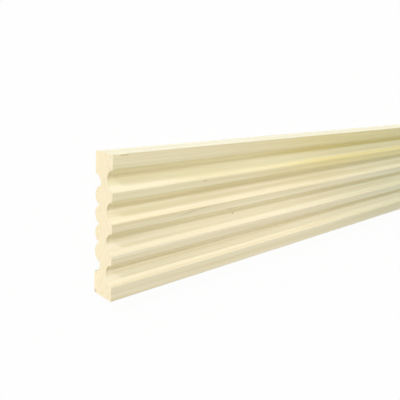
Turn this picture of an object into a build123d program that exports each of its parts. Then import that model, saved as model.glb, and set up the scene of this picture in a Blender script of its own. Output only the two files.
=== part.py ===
from build123d import *
import os

# All sizes are in millimetres. The casing lies with its fluted face up (+Z) and its length along X.
stock_length = 2133.6       # 84 in, a length door casing is sold in
casing_width = 82.55        # 3 1/4 in
casing_thickness = 17.46    # 11/16 in
arris_radius = 0.4          # easing of the long corners

flute_count = 4
flute_width = 12.7          # 1/2 in, measured at the face
flute_depth = 5.6
flute_spacing = 17.78       # from one flute's middle to the next

reed_count = 4
reed_radius = 5.56          # 7/32 in
reed_spacing = 10.97
reed_setback = 0.2          # the crowns stay just inside the flat margins
cove_radius = 5.6
back_margin = 12.7          # flat strip outside each cove


def spread(count, spacing):
    """Distances from the middle of the width for evenly spaced features."""
    return [(number - (count - 1) / 2) * spacing for number in range(count)]


def arc_radius(chord, depth):
    """Radius of the circle that cuts a groove of this width and depth."""
    return chord**2 / (8 * depth) + depth / 2


flute_radius = arc_radius(flute_width, flute_depth)
flute_centre_height = casing_thickness - flute_depth + flute_radius
reed_centre_height = reed_radius + reed_setback
cove_centre = casing_width / 2 - back_margin - cove_radius

# The wood the cutter takes out of the back: a cove at each side with the reeds left standing between
with BuildSketch(Plane.YZ) as back_relief:
    Rectangle(2 * cove_centre, cove_radius, align=(Align.CENTER, Align.MIN))
    with Locations((-cove_centre, 0), (cove_centre, 0)):
        Circle(cove_radius)
    with Locations([(side, reed_centre_height) for side in spread(reed_count, reed_spacing)]):
        Circle(reed_radius, mode=Mode.SUBTRACT)

with BuildPart() as fluted_casing:
    with BuildSketch(Plane.YZ.offset(-stock_length / 2)) as section:
        Rectangle(casing_width, casing_thickness, align=(Align.CENTER, Align.MIN))
        with Locations([(side, flute_centre_height) for side in spread(flute_count, flute_spacing)]):
            Circle(flute_radius, mode=Mode.SUBTRACT)
        add(back_relief.sketch_local, mode=Mode.SUBTRACT)
        front_corners = section.vertices().filter_by_position(Axis.Y, casing_thickness, casing_thickness)
        back_corners = section.vertices().filter_by_position(Axis.Y, 0, 0)
        fillet(front_corners + back_corners, arris_radius)
    extrude(amount=stock_length)

fluted_casing.part.label = "fluted_casing"
os.makedirs("parts", exist_ok=True)
export_step(fluted_casing.part, "parts/fluted_casing.step")
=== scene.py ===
import math

import bmesh
import bpy
from mathutils import Matrix, Vector


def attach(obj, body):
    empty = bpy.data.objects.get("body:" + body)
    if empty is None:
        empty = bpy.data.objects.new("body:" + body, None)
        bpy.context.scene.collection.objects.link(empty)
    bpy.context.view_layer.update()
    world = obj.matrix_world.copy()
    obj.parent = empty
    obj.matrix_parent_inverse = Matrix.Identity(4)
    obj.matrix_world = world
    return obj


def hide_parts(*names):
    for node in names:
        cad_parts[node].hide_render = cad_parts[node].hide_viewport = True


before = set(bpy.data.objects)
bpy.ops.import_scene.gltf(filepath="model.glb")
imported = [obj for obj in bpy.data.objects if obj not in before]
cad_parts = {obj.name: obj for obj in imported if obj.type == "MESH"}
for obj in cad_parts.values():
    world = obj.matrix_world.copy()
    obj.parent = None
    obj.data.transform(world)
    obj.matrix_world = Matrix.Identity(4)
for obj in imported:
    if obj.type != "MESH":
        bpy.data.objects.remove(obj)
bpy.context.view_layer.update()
print("frame loaded")

mm = 0.001

# Sizes in millimetres, the same as in the part's source
casing = {
    "length": 2133.6, "width": 82.55, "thickness": 17.46,
    "flutes": 4, "fluteWidth": 12.7, "fluteDepth": 5.6, "fluteSpacing": 17.78,
    "reeds": 4, "reedRadius": 5.56, "reedSpacing": 10.97, "reedSetback": 0.2,
    "coveRadius": 5.6, "backMargin": 12.7,
    "arris": 0.42, "valleyEase": 0.12,      # how far back the eased corners start
    "fluteSteps": 30, "reedSteps": 20, "coveSteps": 10, "flatSteps": 9, "easeSteps": 4,
    "crispFrom": 40,                        # degrees between two faces that make a crisp edge
}

# Where the mesh is sliced along its length: (millimetres from the cut end, distance between slices up to there)
slices = [(36, 0.9), (340, 7.6), (2100, 32), (2133.6, 4.2)]

# Dents, in millimetres from the cut end, the middle of the width and the reeded face
dents = [
    {"at": (5.0, 41.3, 17.6), "reach": (6.5, 0.9, 1.2), "push": (0, -0.20, -0.35)},     # splinter off the arris
    {"at": (0, -41.3, 0), "reach": (2.2, 1.6, 1.8), "push": (0, 0.45, 0.40)},           # bruised corner
    {"at": (0, 33.0, 17.3), "reach": (1.3, 2.2, 1.9), "push": (0, -1.1, -0.9)},         # flute lips torn by the saw
    {"at": (0, 15.2, 17.3), "reach": (0.9, 1.5, 1.4), "push": (0, -0.6, -0.5)},
    {"at": (0, -2.5, 17.3), "reach": (1.1, 1.6, 1.5), "push": (0, -0.8, -0.6)},
    {"at": (0, -20.3, 17.3), "reach": (1.3, 2.0, 1.9), "push": (0, -1.0, -0.8)},
]


def spread(count, spacing):
    return [(number - (count - 1) / 2) * spacing for number in range(count)]


def arc(middle, radius, start, end, steps):
    return [(middle[0] + radius * math.cos(start + (end - start) * step / steps),
             middle[1] + radius * math.sin(start + (end - start) * step / steps)) for step in range(steps + 1)]


def flat(start, end):
    # points crowd towards both ends, so the eased corners keep crisp shading
    steps = casing["flatSteps"]
    shares = [(1 - math.cos(math.pi * step / steps)) / 2 for step in range(steps + 1)]
    return [(start[0] + (end[0] - start[0]) * share, start[1] + (end[1] - start[1]) * share) for share in shares]


def frontRuns():
    # the fluted face, from the +Y arris to the -Y arris
    half, top = casing["width"] / 2, casing["thickness"]
    width, depth = casing["fluteWidth"], casing["fluteDepth"]
    radius = width ** 2 / (8 * depth) + depth / 2
    centreZ = top - depth + radius
    lip = math.asin((centreZ - top) / radius)
    runs, lastEnd = [], (half, top)
    for middle in reversed(spread(casing["flutes"], casing["fluteSpacing"])):
        groove = arc((middle, centreZ), radius, -lip, -math.pi + lip, casing["fluteSteps"])
        runs += [flat(lastEnd, groove[0]), groove]
        lastEnd = groove[-1]
    return runs + [flat(lastEnd, (-half, top))]


def backRuns():
    # the reeded face, from the -Y arris to the +Y arris
    half, cove = casing["width"] / 2, casing["coveRadius"]
    reed, step = casing["reedRadius"], casing["reedSpacing"]
    reedZ = reed + casing["reedSetback"]
    valley = math.asin(step / 2 / reed)
    coveMiddle = half - casing["backMargin"] - cove
    outerReed = (casing["reeds"] - 1) / 2 * step
    floorY = outerReed + math.sqrt(reed ** 2 - (reedZ - cove) ** 2)     # where the cove's floor meets the reed
    flank = math.atan2(floorY - outerReed, reedZ - cove)
    down = -math.pi / 2
    middles = spread(casing["reeds"], step)
    runs = [flat((-half, 0), (-coveMiddle - cove, 0)),
            arc((-coveMiddle, 0), cove, math.pi, math.pi / 2, casing["coveSteps"]) + [(-floorY, cove)]]
    for middle in middles:
        first = flank if middle == middles[0] else valley
        last = flank if middle == middles[-1] else valley
        runs.append(arc((middle, reedZ), reed, down - first, down + last, casing["reedSteps"]))
    runs.append([(floorY, cove)] + arc((coveMiddle, 0), cove, math.pi / 2, 0, casing["coveSteps"]))
    return runs + [flat((coveMiddle + cove, 0), (half, 0))]


def trimmed(run, cutStart, cutEnd):
    # the run without its first and last few tenths of a millimetre
    def cut(points, amount):
        points = list(points)
        while amount > 0 and len(points) > 2 and math.dist(points[0], points[1]) <= amount:
            amount -= math.dist(points[0], points[1])
            points.pop(0)
        share = amount / math.dist(points[0], points[1])
        points[0] = tuple(a + (b - a) * share for a, b in zip(points[0], points[1]))
        return points
    return cut(cut(run, cutStart)[::-1], cutEnd)[::-1]


def outline():
    # the whole section, with its corners eased
    half, top = casing["width"] / 2, casing["thickness"]
    coveMiddle = half - casing["backMargin"] - casing["coveRadius"]
    runs = frontRuns() + [flat((-half, top), (-half, 0))] + backRuns() + [flat((half, 0), (half, top))]
    points = []

    def easeAt(corner):
        betweenReeds = abs(corner[0]) < coveMiddle and corner[1] < top / 2
        return casing["valleyEase"] if betweenReeds else casing["arris"]

    for number, run in enumerate(runs):
        following = runs[(number + 1) % len(runs)]
        before, after = easeAt(run[0]), easeAt(run[-1])
        kept = trimmed(run, before, after)
        points += kept
        start, corner, end = kept[-1], run[-1], trimmed(following, after, easeAt(following[-1]))[0]
        for step in range(1, casing["easeSteps"]):
            share = step / casing["easeSteps"]
            points.append(tuple(a * (1 - share) ** 2 + 2 * b * share * (1 - share) + c * share ** 2
                                for a, b, c in zip(start, corner, end)))
    return points


def sliceDistances():
    places, reached = [0.0], 0.0
    for end, spacing in slices:
        count = max(1, round((end - reached) / spacing))
        places += [reached + (end - reached) * step / count for step in range(1, count + 1)]
        reached = end
    return places


def dented(x, y, z):
    for dent in dents:
        away = math.sqrt(sum(((value - middle) / reach) ** 2
                             for value, middle, reach in zip((x, y, z), dent["at"], dent["reach"])))
        if away < 1:
            share = (1 - away ** 2) ** 1.5      # fades out softly at its rim
            y, z = y + dent["push"][1] * share, z + dent["push"][2] * share
    return y, z


def makeCasing():
    section, places = outline(), sliceDistances()
    around = len(section)
    build = bmesh.new()
    rings = []
    for x in places:
        ring = []
        for y, z in section:
            y, z = dented(x, y, z)
            ring.append(build.verts.new(((x - casing["length"] / 2) * mm, y * mm, z * mm)))
        rings.append(ring)
    for ring, following in zip(rings, rings[1:]):
        for side in range(around):
            nextSide = (side + 1) % around
            face = build.faces.new((ring[side], following[side], following[nextSide], ring[nextSide]))
            face.smooth = True
    for ring in (rings[0], rings[-1]):      # the sawn ends
        rim = [build.edges.get((ring[side - 1], ring[side])) for side in range(around)]
        made = bmesh.ops.triangle_fill(build, use_beauty=True, use_dissolve=False, edges=rim)
        for face in made["geom"]:
            if isinstance(face, bmesh.types.BMFace):
                face.material_index = 1
    bmesh.ops.recalc_face_normals(build, faces=build.faces)
    crisp = math.radians(casing["crispFrom"])
    for edge in build.edges:
        if len(edge.link_faces) == 2 and edge.calc_face_angle(0) > crisp:
            edge.smooth = False
    mesh = bpy.data.meshes.new("casingWood")
    build.to_mesh(mesh)
    build.free()
    wood = bpy.data.objects.new("casingWood", mesh)
    bpy.context.scene.collection.objects.link(wood)
    return wood


def rgba(colour):
    return (*colour, 1.0)


class Tree:
    # short calls for a material's or a group's nodes
    def __init__(self, tree):
        self.tree = tree

    def add(self, kind, settings=None, inputs=None):
        node = self.tree.nodes.new(kind)
        for name, value in (settings or {}).items():
            setattr(node, name, value)
        for name, value in (inputs or {}).items():
            if isinstance(value, bpy.types.NodeSocket):
                self.tree.links.new(value, node.inputs[name])
            else:
                node.inputs[name].default_value = value
        return node

    def math(self, operation, first, second=0.0, third=0.0, clamp=False):
        return self.add("ShaderNodeMath", {"operation": operation, "use_clamp": clamp},
                        {0: first, 1: second, 2: third}).outputs[0]

    def plus(self, first, second):
        return self.math("ADD", first, second)

    def minus(self, first, second, clamp=False):
        return self.math("SUBTRACT", first, second, clamp=clamp)

    def times(self, first, second):
        return self.math("MULTIPLY", first, second)

    def timesPlus(self, first, second, third):
        return self.math("MULTIPLY_ADD", first, second, third)

    def larger(self, first, second):
        return self.math("MAXIMUM", first, second)

    def inverse(self, value):
        return self.minus(1.0, value)

    def ramp(self, value, low, high):
        return self.add("ShaderNodeMapRange", {"interpolation_type": "SMOOTHSTEP"},
                        {"Value": value, "From Min": low, "From Max": high}).outputs[0]

    def noise(self, vector, values, scale=None):
        # stretched, moved, scaled and detailed as its values say
        moved = self.add("ShaderNodeMapping", None,
                         {"Vector": vector, "Scale": values.get("stretch", (1, 1, 1)),
                          "Location": values.get("place", (0, 0, 0))}).outputs[0]
        cloud = self.add("ShaderNodeTexNoise", None,
                         {"Vector": moved, "Scale": values.get("scale", 1.0) if scale is None else scale,
                          "Detail": values.get("detail", 2.0), "Roughness": values.get("roughness", 0.5)})
        return cloud.outputs["Fac"]

    def centred(self, noise):
        return self.minus(noise, 0.5)

    def parts(self, vector):
        return self.add("ShaderNodeSeparateXYZ", None, {0: vector}).outputs

    def vectorMath(self, operation, inputs):
        return self.add("ShaderNodeVectorMath", {"operation": operation}, inputs).outputs

    def mix(self, share, first, second, blend="MIX"):
        node = self.add("ShaderNodeMix", {"data_type": "RGBA", "blend_type": blend, "clamp_factor": True},
                        {0: share, 6: first, 7: second})
        return node.outputs[2]

    def stained(self, colour, mask, stain):
        return self.mix(self.times(mask, stain["share"]), colour, rgba(stain["colour"]))

    def tinted(self, colour, mask, tint):
        return self.mix(mask, colour, rgba(tint), "MULTIPLY")


def newGroup(name, inputs, outputs):
    group = bpy.data.node_groups.new(name, "ShaderNodeTree")
    for label, kind, value in inputs:
        socket = group.interface.new_socket(name=label, in_out="INPUT", socket_type=kind)
        if value is not None:
            socket.default_value = value
    for label in outputs:
        group.interface.new_socket(name=label, in_out="OUTPUT", socket_type="NodeSocketFloat")
    tree = Tree(group)
    return group, tree, tree.add("NodeGroupInput").outputs, tree.add("NodeGroupOutput")


# The wood's figure. Places are in metres from the near end, the middle of the width and the reeded face.
# A stretch is along, across and through the board, and a range says where a noise fades in.
figure = {
    "pith": (0.012, -0.075),                # where the growth rings are centred, across and up
    "ringRise": (0.35, 0.92), "ringFall": (0.92, 1.0),      # shares of a ring: it darkens slowly and ends sharply
    "drift": {"stretch": (0.9, 14, 14), "detail": 3.0}, "ringDrift": 0.05,
    "streaks": {"stretch": (5.0, 420, 420), "detail": 3.0, "roughness": 0.6, "range": (0.36, 0.66)},
    "bands": {"stretch": (2.4, 110, 110), "place": (0.4, 0.2, 0.9), "range": (0.38, 0.64)},
    "patches": {"stretch": (2.0, 9, 9), "place": (0.1, 0.5, 0.3), "range": (0.36, 0.58)},
    "fibres": {"stretch": (0.018, 1, 1), "detail": 3.0, "roughness": 0.65, "range": (0.3, 0.72)},
    # a yellower layer, tilted through the board, with the same tone on the margin beside it
    "heartFrom": (0.10, 0.22), "heartSide": (0.0, 0.014), "heartAt": (0.021, 0.016), "heartDrift": (0.10, 0.004),
    "heartSlope": 0.33, "heartFlat": 0.018, "heartDepth": (0.0010, 0.0025),
    "marginRange": (0.0318, 0.0340), "marginShare": 0.7,
    "patchesFrom": (0.45, 0.8),             # the layer is whole up to here and patchy beyond
    # the whole board is a little deeper in tone further along
    "deeperFrom": (0.13, 0.34), "deeperDrift": 0.12, "deeperPatches": 0.4,
}


def woodFigureGroup():
    # growth rings, streaks, fibres and slow changes of tone, all running through the solid wood
    group, tree, given, out = newGroup(
        "wood figure",
        [("Vector", "NodeSocketVector", None), ("Ring Spacing", "NodeSocketFloat", 3.4),
         ("Fibre Scale", "NodeSocketFloat", 1500.0)],
        ("Rings", "Streaks", "Bands", "Fibres", "Heart", "Deeper"))

    def give(name, value):
        tree.tree.links.new(value, out.inputs[name])

    def cloudy(values, scale=None):
        return tree.ramp(tree.noise(given["Vector"], values, scale), *values["range"])

    x, y, z = tree.parts(given["Vector"])
    drift = tree.centred(tree.noise(given["Vector"], figure["drift"]))
    across = tree.minus(y, figure["pith"][0])
    up = tree.minus(z, figure["pith"][1])
    distance = tree.math("SQRT", tree.plus(tree.times(across, across), tree.times(up, up)))
    distance = tree.plus(distance, tree.times(drift, figure["ringDrift"]))
    phase = tree.math("FRACT", tree.math("DIVIDE", tree.times(distance, 1 / mm), given["Ring Spacing"]))
    rise, fall = tree.ramp(phase, *figure["ringRise"]), tree.ramp(phase, *figure["ringFall"])
    give("Rings", tree.times(rise, tree.inverse(fall)))
    give("Streaks", cloudy(figure["streaks"]))
    give("Bands", cloudy(figure["bands"]))
    give("Fibres", cloudy(figure["fibres"], given["Fibre Scale"]))

    fromEnd = tree.plus(x, casing["length"] / 2 * mm)
    driftAlong, driftAcross = figure["heartDrift"]
    begins = tree.ramp(tree.timesPlus(drift, driftAlong, fromEnd), *figure["heartFrom"])
    side = tree.ramp(tree.timesPlus(drift, driftAcross, y), *figure["heartSide"])
    beyond = tree.minus(tree.larger(y, figure["heartFlat"]), figure["heartAt"][0])
    fromLayer = tree.timesPlus(beyond, figure["heartSlope"], tree.minus(z, figure["heartAt"][1]))
    layer = tree.inverse(tree.ramp(tree.math("ABSOLUTE", fromLayer), *figure["heartDepth"]))
    margin = tree.times(tree.ramp(y, *figure["marginRange"]), figure["marginShare"])
    layer = tree.larger(tree.times(side, layer), margin)
    whole = tree.inverse(tree.ramp(fromEnd, *figure["patchesFrom"]))
    patches = tree.larger(cloudy(figure["patches"]), whole)
    give("Heart", tree.times(tree.times(begins, layer), patches))

    deeper = tree.ramp(tree.timesPlus(drift, figure["deeperDrift"], fromEnd), *figure["deeperFrom"])
    give("Deeper", tree.times(deeper, tree.timesPlus(patches, figure["deeperPatches"], 1 - figure["deeperPatches"])))
    return group


# How a mark frays at its rim
markRim = {"stretch": (0.25, 1, 1), "scale": 2400.0, "fade": (0.35, 1.0)}


def localMarkGroup():
    # one ragged spot or streak, for marks in the wood and for painted light and shade; a slant turns a streak off the
    # grain
    group, tree, given, out = newGroup(
        "local mark",
        [("Vector", "NodeSocketVector", None), ("Centre", "NodeSocketVector", None),
         ("Reach", "NodeSocketVector", None), ("Slant", "NodeSocketFloat", 0.0), ("Ragged", "NodeSocketFloat", 0.4)],
        ("Mask",))
    x, y, z = tree.parts(tree.vectorMath("SUBTRACT", {0: given["Vector"], 1: given["Centre"]})[0])
    level = tree.minus(y, tree.times(x, given["Slant"]))
    turned = tree.add("ShaderNodeCombineXYZ", None, {0: x, 1: level, 2: z}).outputs[0]
    shares = tree.vectorMath("DIVIDE", {0: turned, 1: given["Reach"]})[0]
    distance = tree.vectorMath("LENGTH", {0: shares})["Value"]
    rough = tree.centred(tree.noise(given["Vector"], markRim))
    ragged = tree.timesPlus(rough, given["Ragged"], distance)
    tree.tree.links.new(tree.inverse(tree.ramp(ragged, *markRim["fade"])), out.inputs["Mask"])
    return group


# Marks in the wood, and some of painted light, shade and shadow, in millimetres from the near end, the middle of the
# width and the reeded face.
# Share says how strongly a mark shows, a slant turns it off the grain, and ragged frays its rim.
marks = {
    "paler first flute": {
        "at": (85, 31.0, 14.5), "reach": (105, 4.2, 4.5), "share": 0.45, "colour": (0.990, 0.935, 0.670)},
    # painted light: the lit lower wall of the first flute made paler near the cut end
    "painted light on the lower wall of the first flute": {
        "at": (14, 21.3, 15.0), "reach": (62, 3.2, 4.5), "share": 0.58, "colour": (0.985, 0.910, 0.725)},
    "paler second flute": {
        "at": (32, 13.5, 14.5), "reach": (50, 3.6, 4.5), "share": 0.60, "colour": (1.0, 0.930, 0.680)},
    "paler middle": {
        "at": (112, -6.0, 14.0), "reach": (115, 11.0, 8.0), "share": 0.60, "colour": (0.985, 0.905, 0.665)},
    "pin fleck": {
        "at": (100.7, -8.2, 11.9), "reach": (0.9, 0.7, 1.0), "share": 0.75, "colour": (0.20, 0.15, 0.08)},
    "streak by the fleck": {
        "at": (95.5, -4.6, 13.9), "reach": (2.6, 0.35, 0.8), "slant": 0.05, "ragged": 0.4,
        "share": 0.30, "colour": (0.42, 0.33, 0.22)},
    "mineral streak": {
        "at": (56.0, 0.55, 17.5), "reach": (10.0, 0.50, 1.5), "slant": 0.105, "ragged": 0.9,
        "share": 0.44, "colour": (0.40, 0.34, 0.28)},
    "second mineral streak": {
        "at": (68.0, 1.75, 17.4), "reach": (9.0, 0.35, 1.5), "slant": 0.05, "ragged": 0.9,
        "share": 0.40, "colour": (0.40, 0.34, 0.28)},
    # painted shadow: the dark line the splinter in the arris casts on the face below it
    "painted shadow under the splinter": {
        "at": (7.2, 40.45, 17.3), "reach": (4.6, 0.55, 1.2), "ragged": 0.9,
        "share": 0.62, "colour": (0.45, 0.35, 0.17)},
    "short brown streak": {
        "at": (90.3, -2.3, 17.4), "reach": (5.5, 0.40, 1.2), "slant": 0.06, "ragged": 0.8,
        "share": 0.36, "colour": (0.44, 0.32, 0.22)},
    "grey spot": {
        "at": (68.6, 18.9, 17.4), "reach": (2.4, 0.80, 1.2), "ragged": 0.9,
        "share": 0.30, "colour": (0.38, 0.38, 0.30)},
    "bruised corner": {
        "at": (0, -40.9, 0.3), "reach": (2.4, 2.3, 2.6), "ragged": 0.5,
        "share": 0.60, "colour": (0.33, 0.32, 0.28)},
}
# painted shade high on each flute's upper wall at the cut end, where the lip keeps the lamps' light off
for fluteNumber, fluteMiddle in enumerate(spread(casing["flutes"], casing["fluteSpacing"]), 1):
    marks[f"sawn fibres in flute {fluteNumber}"] = {
        "at": (0.6, fluteMiddle + 2.2, 12.5), "reach": (2.3, 3.4, 2.4), "ragged": 0.6,
        "share": 0.30, "colour": (0.50, 0.36, 0.15)}

# Colours of the planed faces. The tints multiply what is under them.
planedWood = {
    "pale": (0.948, 0.868, 0.652),
    "lateWood": {"share": 0.5, "colour": (0.900, 0.800, 0.550)},
    "green": {"share": 0.8, "colour": (0.870, 0.815, 0.580)},
    "streak": {"share": 0.95, "colour": (0.835, 0.740, 0.485)},
    "heartTint": (0.985, 0.935, 0.680), "deeperTint": (0.855, 0.892, 0.880),
    "warmSideTint": (1.0, 1.0, 0.935), "warmSideFrom": (-0.015, 0.025),     # metres from the middle of the width
    # painted highlight on the long edge faces
    "paintedEdgeHighlightTint": (0.97, 1.02, 1.12), "edgeDepth": 0.3, "edgeFade": 0.2,      # millimetres in from the long edges
    # painted shade on the flat faces
    "flatPaintedShadeTint": (0.862, 0.862, 0.855), "flatPaintedShadeDepth": (0.1, 0.6),       # millimetres under the flat faces
    "flatPaintedShadeNear": 0.65,                                                    # its share near the cut end
    "fibreShade": (0.97, 0.04),                                             # darkest, and how much lighter at most
    "knifeScale": 95.0, "knifeWander": 0.6, "knifeDetail": 1.0, "knifeHeight": 0.25,       # ripples across the length
    "ringSpacing": 3.4, "fibreScale": 1500.0, "roughness": 0.50, "fibreGloss": 0.08, "specular": 0.5,
    "bump": 0.25, "bumpHeight": 0.10,       # millimetres
}

sawnEnd = {
    "pale": (0.932, 0.832, 0.585),
    "ring": {"share": 0.75, "colour": (0.897, 0.787, 0.517)},
    "pore": {"share": 0.45, "colour": (0.800, 0.650, 0.370)}, "poreDepth": 0.6,
    "pores": {"stretch": (0.2, 1, 1), "scale": 1700.0, "range": (0.52, 0.66)},
    "patches": {"scale": 170.0, "detail": 1.0, "range": (0.42, 0.62)}, "patchShare": 0.8,       # more pores in places
    "scratches": {"stretch": (1, 0.04, 1), "scale": 2600.0, "detail": 3.0, "roughness": 0.6},
    "ringSpacing": 3.4, "fibreScale": 1500.0, "roughness": 0.80, "specular": 0.3,
    "bump": 0.30, "bumpHeight": 0.15,       # millimetres
}


def newMaterial(name):
    material = bpy.data.materials.new(name)
    material.use_nodes = True
    material.node_tree.nodes.clear()
    return material, Tree(material.node_tree)


def figureNode(tree, group, values, vector):
    return tree.add("ShaderNodeGroup", {"node_tree": group},
                    {"Vector": vector, "Ring Spacing": values["ringSpacing"],
                     "Fibre Scale": values["fibreScale"]}).outputs


def marked(tree, group, vector, colour, mark):
    along, across, up = mark["at"]
    centre = Vector((along - casing["length"] / 2, across, up)) * mm
    mask = tree.add("ShaderNodeGroup", {"node_tree": group},
                    {"Vector": vector, "Centre": centre, "Reach": Vector(mark["reach"]) * mm,
                     "Slant": mark.get("slant", 0.0), "Ragged": mark.get("ragged", 0.3)}).outputs["Mask"]
    return tree.stained(colour, mask, mark)


def finished(tree, values, colour, roughness, height):
    # the surface itself: colour, gloss and fine relief
    bump = tree.add("ShaderNodeBump", None,
                    {"Strength": values["bump"], "Distance": values["bumpHeight"] * mm, "Height": height})
    shader = tree.add("ShaderNodeBsdfPrincipled", None,
                      {"Base Color": colour, "Roughness": roughness, "Specular IOR Level": values["specular"],
                       "Normal": bump.outputs[0]})
    tree.add("ShaderNodeOutputMaterial", None, {"Surface": shader.outputs[0]})


def planedMaterial(figureGroup, markGroup):
    material, tree = newMaterial("planed bare wood")
    place = tree.add("ShaderNodeTexCoord").outputs["Object"]
    grain = figureNode(tree, figureGroup, planedWood, place)
    colour = tree.stained(rgba(planedWood["pale"]), grain["Rings"], planedWood["lateWood"])
    colour = tree.stained(colour, grain["Bands"], planedWood["green"])
    colour = tree.stained(colour, grain["Streaks"], planedWood["streak"])
    y, z = tree.parts(place)[1:]
    # the long edge faces are kept out of the yellower layer and the deeper tone and tinted whiter and cooler: a
    # painted highlight, as on the brightly lit top edge
    side, fade = (casing["width"] / 2 - planedWood["edgeDepth"]) * mm, planedWood["edgeFade"] * mm
    edge = tree.ramp(tree.math("ABSOLUTE", y), side - fade, side + fade)
    colour = tree.tinted(colour, tree.minus(grain["Heart"], edge, clamp=True), planedWood["heartTint"])
    colour = tree.tinted(colour, tree.minus(grain["Deeper"], edge, clamp=True), planedWood["deeperTint"])
    colour = tree.tinted(colour, tree.ramp(y, *planedWood["warmSideFrom"]), planedWood["warmSideTint"])
    colour = tree.tinted(colour, edge, planedWood["paintedEdgeHighlightTint"])
    # the flat faces on both sides are painted a shade darker, more so further along: painted shade, as the flats take
    # less of the light than the flutes
    top, near = casing["thickness"] * mm, planedWood["flatPaintedShadeNear"]
    skin, under = (depth * mm for depth in planedWood["flatPaintedShadeDepth"])
    outer = tree.plus(tree.ramp(z, top - under, top - skin), tree.inverse(tree.ramp(z, skin, under)))
    paintedShadeOnFlats = tree.times(outer, tree.timesPlus(grain["Deeper"], 1 - near, near))
    colour = tree.tinted(colour, paintedShadeOnFlats, planedWood["flatPaintedShadeTint"])
    base, more = planedWood["fibreShade"]
    fine = tree.timesPlus(grain["Fibres"], more, base)
    fineColour = tree.add("ShaderNodeCombineColor", None, {0: fine, 1: fine, 2: fine}).outputs[0]
    colour = tree.mix(1.0, colour, fineColour, "MULTIPLY")
    for mark in marks.values():
        colour = marked(tree, markGroup, place, colour, mark)
    # shallow ripples left across the length by the moulder's knives
    knives = tree.add("ShaderNodeTexWave", {"wave_type": "BANDS", "bands_direction": "X"},
                      {"Vector": place, "Scale": planedWood["knifeScale"], "Distortion": planedWood["knifeWander"],
                       "Detail": planedWood["knifeDetail"]}).outputs["Fac"]
    height = tree.timesPlus(knives, planedWood["knifeHeight"], grain["Fibres"])
    gloss = planedWood["fibreGloss"]
    roughness = tree.timesPlus(grain["Fibres"], gloss, planedWood["roughness"] - gloss / 2)
    finished(tree, planedWood, colour, roughness, height)
    return material


def endMaterial(figureGroup, markGroup):
    material, tree = newMaterial("sawn end grain")
    place = tree.add("ShaderNodeTexCoord").outputs["Object"]
    grain = figureNode(tree, figureGroup, sawnEnd, place)
    colour = tree.stained(rgba(sawnEnd["pale"]), grain["Rings"], sawnEnd["ring"])
    pores, patches = (tree.ramp(tree.noise(place, values), *values["range"])
                      for values in (sawnEnd["pores"], sawnEnd["patches"]))
    dots = tree.times(pores, tree.timesPlus(patches, sawnEnd["patchShare"], 1 - sawnEnd["patchShare"]))
    colour = tree.stained(colour, dots, sawnEnd["pore"])
    colour = marked(tree, markGroup, place, colour, marks["bruised corner"])
    # the saw leaves fine scratches across the end
    height = tree.minus(tree.noise(place, sawnEnd["scratches"]), tree.times(dots, sawnEnd["poreDepth"]))
    finished(tree, sawnEnd, colour, sawnEnd["roughness"], height)
    return material


wood = makeCasing()
groups = woodFigureGroup(), localMarkGroup()
for material in (planedMaterial(*groups), endMaterial(*groups)):
    wood.data.materials.append(material)
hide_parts("fluted_casing")
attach(wood, "root")
print("casing made:", len(wood.data.polygons), "faces")

# Both lamps are far off, so their direction is all that counts; softness is in degrees
studio = {
    "floorSize": 40.0, "floorColour": (0.86, 0.86, 0.85), "floorGlow": 0.96,    # share of plain white the camera sees
    "sky": (0.642, 0.614, 0.522),
    "low": {"toward": (0.66, -0.71, -0.25), "strength": 0.84, "colour": (0.925, 0.967, 1.18), "softness": 1.0},
    "high": {"toward": (0.49, -0.61, -0.61), "strength": 1.10, "colour": (0.925, 0.967, 1.18), "softness": 1.0},
}


def whiteSeen(tree):
    # the camera and mirror-like rays see plain white
    path = tree.add("ShaderNodeLightPath").outputs
    return tree.larger(path["Is Camera Ray"], tree.larger(path["Is Glossy Ray"], path["Is Transmission Ray"]))


def makeFloor():
    half = studio["floorSize"] / 2
    mesh = bpy.data.meshes.new("studioFloor")
    mesh.from_pydata([(-half, -half, 0), (half, -half, 0), (half, half, 0), (-half, half, 0)], [], [(0, 1, 2, 3)])
    floor = bpy.data.objects.new("studioFloor", mesh)
    bpy.context.scene.collection.objects.link(floor)
    material, tree = newMaterial("studio floor")
    matt = tree.add("ShaderNodeBsdfDiffuse", None, {"Color": rgba(studio["floorColour"])}).outputs[0]
    glow = tree.add("ShaderNodeEmission", None, {"Color": (1, 1, 1, 1), "Strength": 1.0}).outputs[0]
    share = tree.times(whiteSeen(tree), studio["floorGlow"])
    mixed = tree.add("ShaderNodeMixShader", None, {0: share, 1: matt, 2: glow}).outputs[0]
    tree.add("ShaderNodeOutputMaterial", None, {"Surface": mixed})
    mesh.materials.append(material)


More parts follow.
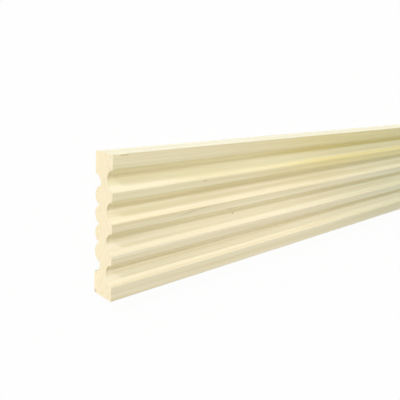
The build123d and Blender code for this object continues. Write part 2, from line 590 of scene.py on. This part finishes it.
def makeSky():
    world = bpy.data.worlds.new("studio sky")
    bpy.context.scene.world = world
    world.use_nodes = True
    world.node_tree.nodes.clear()
    tree = Tree(world.node_tree)
    light = tree.add("ShaderNodeBackground", None, {"Color": rgba(studio["sky"]), "Strength": 1.0}).outputs[0]
    white = tree.add("ShaderNodeBackground", None, {"Color": (1, 1, 1, 1), "Strength": 1.0}).outputs[0]
    mixed = tree.add("ShaderNodeMixShader", None, {0: whiteSeen(tree), 1: light, 2: white}).outputs[0]
    tree.add("ShaderNodeOutputWorld", None, {"Surface": mixed})


def makeLamp(name, values):
    data = bpy.data.lights.new(name, "SUN")
    data.energy = values["strength"]
    data.color = values["colour"]
    data.angle = math.radians(values["softness"])
    lamp = bpy.data.objects.new(name, data)
    lamp.rotation_euler = Vector(values["toward"]).to_track_quat("-Z", "Y").to_euler()
    bpy.context.scene.collection.objects.link(lamp)


makeFloor()
makeSky()
makeLamp("lowLamp", studio["low"])
makeLamp("highLamp", studio["high"])
print("floor and lights made")

# The camera, in metres; lens and sensor in millimetres
view = {
    "place": (-1.21685, 0.08610, 0.24830), "aim": (-1.00422, 0.05153, 0.01746),
    "upward": (0.04874, 0.99352, -0.10367), "lens": 46.17, "sensor": 36.0, "shiftUp": -0.175,
    "nearest": 0.01, "farthest": 100.0,
}


def makeCamera():
    data = bpy.data.cameras.new("camera")
    data.sensor_width, data.lens, data.shift_y = view["sensor"], view["lens"], view["shiftUp"]
    data.clip_start, data.clip_end = view["nearest"], view["farthest"]
    camera = bpy.data.objects.new("camera", data)
    forward = (Vector(view["aim"]) - Vector(view["place"])).normalized()
    right = forward.cross(Vector(view["upward"])).normalized()
    upward = right.cross(forward)
    turn = Matrix((right, upward, -forward)).transposed()
    camera.matrix_world = Matrix.Translation(view["place"]) @ turn.to_4x4()
    bpy.context.scene.collection.objects.link(camera)
    bpy.context.scene.camera = camera


makeCamera()
bpy.context.scene.view_settings.view_transform = "Standard"
print("camera made")

bpy.context.view_layer.update()
